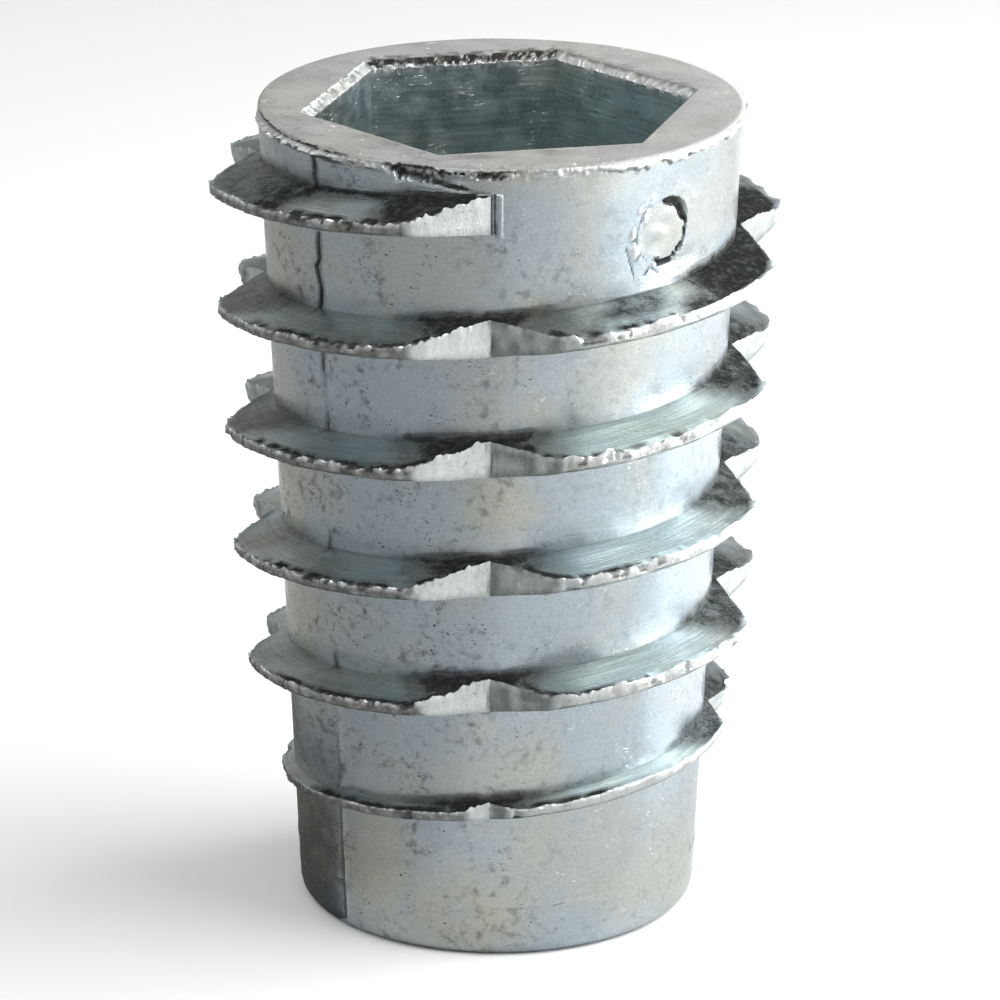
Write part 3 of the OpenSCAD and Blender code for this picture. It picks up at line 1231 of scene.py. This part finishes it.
# Pits in clusters, and soot and painted shade from the points, which thin out softly and break up into grains
def darkeningOn(tree, ways, look, onSide):
    plain = ways["plain"]
    holes = between(tree, clouds(tree, ways["dashed"], look["pitSize"], 3, 0.2), 0.62, 0.68)
    crowded = between(tree, clouds(tree, plain, 1.1, 3, 0.5), 0.49, 0.60)
    pits = times(tree, times(tree, holes, crowded), look["pits"])
    pits = times(tree, pits, onSide)
    dirtAndShade = attribute(tree, "dirtAndShade")
    patchy = timesPlus(tree, clouds(tree, plain, 0.5, 4, 0.6), 0.7, 0.65)
    worn = timesPlus(tree, clouds(tree, plain, 0.1, 4), 0.5, -0.25)
    softDark = times(tree, reckon(tree, "ADD", patchy, worn), dirtAndShade)
    softDark = between(tree, softDark, 0.04, 0.85, 0, 0.985)
    grainy = timesPlus(tree, clouds(tree, plain, 0.07, 3), 2.6, -1.3)
    grainy = between(tree, reckon(tree, "ADD", dirtAndShade, grainy), 0.7, 1.05, 0, 0.95)
    grainy = times(tree, grainy, between(tree, dirtAndShade, 0.02, 0.3))
    crumbs = between(tree, clouds(tree, plain, 0.2, 6, 0.3), 0.42, 0.75, 1, 0.92)
    darkening = times(tree, reckon(tree, "MAXIMUM", softDark, grainy), crumbs)
    return reckon(tree, "MAXIMUM", darkening, pits)


# Small bright flakes, in clusters and away from the pits, soot and painted shade
def flakesOn(tree, ways, look, darkening):
    flakes = clouds(tree, ways["dashed"], look["fleckSize"], 2, 0.4)
    flakes = between(tree, flakes, 0.65, 0.70, 0, look["flecks"])
    flakes = times(tree, flakes, between(tree, clouds(tree, ways["plain"], 1.4, 3), 0.52, 0.62))
    return times(tree, flakes, between(tree, darkening, 0, 0.5, 1, 0.1))


def zincPlate(name, look):
    material = bpy.data.materials.new(name)
    material.use_nodes = True
    tree = material.node_tree
    ways = positions(tree)
    plain = ways["plain"]
    fine = clouds(tree, plain, look["grainSize"], 3)
    strokes = clouds(tree, ways[look["way"]], 1, 3)
    onSide = between(tree, ways["side"], 0.2, 0.9, 0.3, 1)
    darkening = darkeningOn(tree, ways, look, onSide)
    flakes = flakesOn(tree, ways, look, darkening)
    bright = reckon(tree, "MAXIMUM", times(tree, attribute(tree, "shine"), 0.9), flakes)

    mottle = platingMottle(tree, plain, look, fine, strokes, onSide)
    colour = vectors(tree, "SCALE", {0: platingTint(tree, plain, look), "Scale": mottle})
    colour = blendColour(tree, darkening, colour, (*look["dark"], 1))
    colour = blendColour(tree, bright, colour, (*look["bareAndHighlight"], 1))

    rough = between(tree, clouds(tree, plain, 0.7, 4), 0.3, 0.7, *look["rough"])

    # Relief: cast grain, brushing, pits and flakes
    relief = times(tree, fine, look["grain"])
    relief = timesPlus(tree, strokes, look["brush"], relief)
    relief = timesPlus(tree, darkening, -1.0, relief)
    relief = timesPlus(tree, flakes, 1.5, relief)
    bump = node(tree, "ShaderNodeBump", {"Strength": 1, "Distance": look["relief"] * mm, "Height": relief})

    made = {
        "Base Color": colour,
        "Roughness": timesPlus(tree, darkening, 0.25, rough),
        "Metallic": between(tree, darkening, 0.55, 0.92, look["metal"], 0),
        "Specular IOR Level": between(tree, darkening, 0.55, 0.92, 0.5, 0),
        "Normal": bump.outputs[0],
    }
    for socketName, value in made.items():
        tree.links.new(value, tree.nodes["Principled BSDF"].inputs[socketName])
    return material


insert = buildInsert()
print("insert: plated zinc finishes")
for skin in skins:
    look = {**zincCommon, **zincLooks[skin]}
    insert.data.materials.append(zincPlate("zinc" + skin[0].upper() + skin[1:], look))
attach(insert, "root")
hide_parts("insert")


floorLook = {
    "size": 3000,
    "grey": 0.90,
    "specular": 0.1,
}


# A matt sheet. Its corners are in metres.
def makeSheet(name, corners, grey, specular=0.5):
    data = bpy.data.meshes.new(name)
    data.from_pydata(corners, [], [(0, 1, 2, 3)])
    material = bpy.data.materials.new(name)
    material.use_nodes = True
    inputs = material.node_tree.nodes["Principled BSDF"].inputs
    inputs["Base Color"].default_value = (grey, grey, grey, 1)
    inputs["Roughness"].default_value = 0.9
    inputs["Specular IOR Level"].default_value = specular
    data.materials.append(material)
    sheet = addObject(name, data)
    return sheet


def makeFloor():
    half = floorLook["size"] * mm / 2
    corners = [(-half, -half, 0), (half, -half, 0), (half, half, 0), (-half, half, 0)]
    makeSheet("floor", corners, floorLook["grey"], floorLook["specular"])


studio = {
    "horizon": 0.8,          # pale band low behind everything
    "horizonEdge": (0.08, 0.26),
    "dim": 0.29,             # the room above it
    "sky": 0.75,             # overhead
    "skyEdge": (0.32, 0.70),
    "softboxes": [
        # name, turn, rise, distance, width, height, watts
        ("keyLight", 88, 36, 84, 126, 64, 0.125),
        ("rimLight", 132, 34, 110, 34, 46, 0.022),
        ("lowLight", 96, 4, 170, 190, 38, 0.13),
        ("fillLight", -40, 50, 300, 200, 200, 0.16),
    ],
    "cardLift": 0.1,         # of a black card
    "cards": [
        # name, turn, distance, sideways, width, depth, grey
        ("footShadowCard", -99, 10.5, -7.3, 24, 13, 0.10),
        ("footShade", -102, 7, 0, 8, 5, 0.3),
        ("baseShade", 0, 0, 0, 18, 18, 0.62),
        ("frontCard", -75, 68, 0, 190, 120, 0.40),
        ("sideCard", 8, 66, 0, 96, 120, 0.52),
        ("rightCard", 96, 10, 0, 24, 10, 0.6),
        ("farCard", 112, 74, 0, 100, 50, 0.62),
    ],
}


def makeWorld():
    world = bpy.data.worlds.new("studio")
    bpy.context.scene.world = world
    world.use_nodes = True
    tree = world.node_tree
    way = node(tree, "ShaderNodeTexCoord").outputs["Generated"]
    rise = node(tree, "ShaderNodeSeparateXYZ", {0: way}).outputs["Z"]
    low = between(tree, rise, *studio["horizonEdge"], studio["horizon"], studio["dim"])
    high = between(tree, rise, *studio["skyEdge"], 0, studio["sky"] - studio["dim"])
    tree.links.new(reckon(tree, "ADD", low, high), tree.nodes["Background"].inputs["Color"])


def makeSoftbox(name, turn, rise, distance, width, tall, watts):
    light = bpy.data.lights.new(name, "AREA")
    light.shape = "RECTANGLE"
    light.size = width * mm
    light.size_y = tall * mm
    light.energy = watts
    lamp = addObject(name, light)
    aim = Vector((0, 0, height / 2)) * mm
    lamp.location = aim + place(turn, distance * cosDeg(rise), distance * sinDeg(rise)) * mm
    lamp.rotation_euler = (lamp.location - aim).to_track_quat("Z", "Y").to_euler()


# The cards lie level and only darken reflections: painted shade on the floor, such as the part's own shadow
# by its foot, seen only in the metal. A darker one lies a little higher.
def makeCard(name, turn, distance, sideways, width, depth, grey):
    across = place(turn + 90, 1, 0)
    along = place(turn, 1, 0)
    lift = studio["cardLift"] * (1 - grey)
    middle = along * distance + across * sideways + Vector((0, 0, lift))
    corners = [(middle + across * x * width + along * y * depth) * mm
               for x, y in ((-0.5, -0.5), (0.5, -0.5), (0.5, 0.5), (-0.5, 0.5))]
    card = makeSheet(name, corners, grey)
    card.visible_camera = False
    card.visible_diffuse = False
    card.visible_shadow = False


camera = {
    "distance": 182.13,
    "elevation": 19.473,
    "turn": 2.1,             # the camera stands a little to the right of the front
    "roll": 0.3107,
    "lens": 215.99,
    "aimHeight": 12.443,
    "aimSide": 0.045,
}


def makeCamera():
    back = place(camera["turn"], cosDeg(camera["elevation"]), sinDeg(camera["elevation"]))
    right = place(camera["turn"] + 90, 1, 0)
    up = back.cross(right)
    rolled = right * cosDeg(camera["roll"]) + up * sinDeg(camera["roll"])
    upright = up * cosDeg(camera["roll"]) - right * sinDeg(camera["roll"])
    aim = right * camera["aimSide"] + Vector((0, 0, camera["aimHeight"]))
    spot = (aim + back * camera["distance"]) * mm
    data = bpy.data.cameras.new("camera")
    data.lens = camera["lens"]
    data.sensor_width = 36
    data.clip_start = 0.01
    made = addObject("camera", data)
    turned = Matrix((rolled, upright, back)).transposed().to_4x4()
    made.matrix_world = Matrix.Translation(spot) @ turned
    bpy.context.scene.camera = made


print("floor, lights and camera")
makeFloor()
makeWorld()
for softbox in studio["softboxes"]:
    makeSoftbox(*softbox)
for card in studio["cards"]:
    makeCard(*card)
makeCamera()
bpy.context.scene.view_settings.view_transform = "Standard"
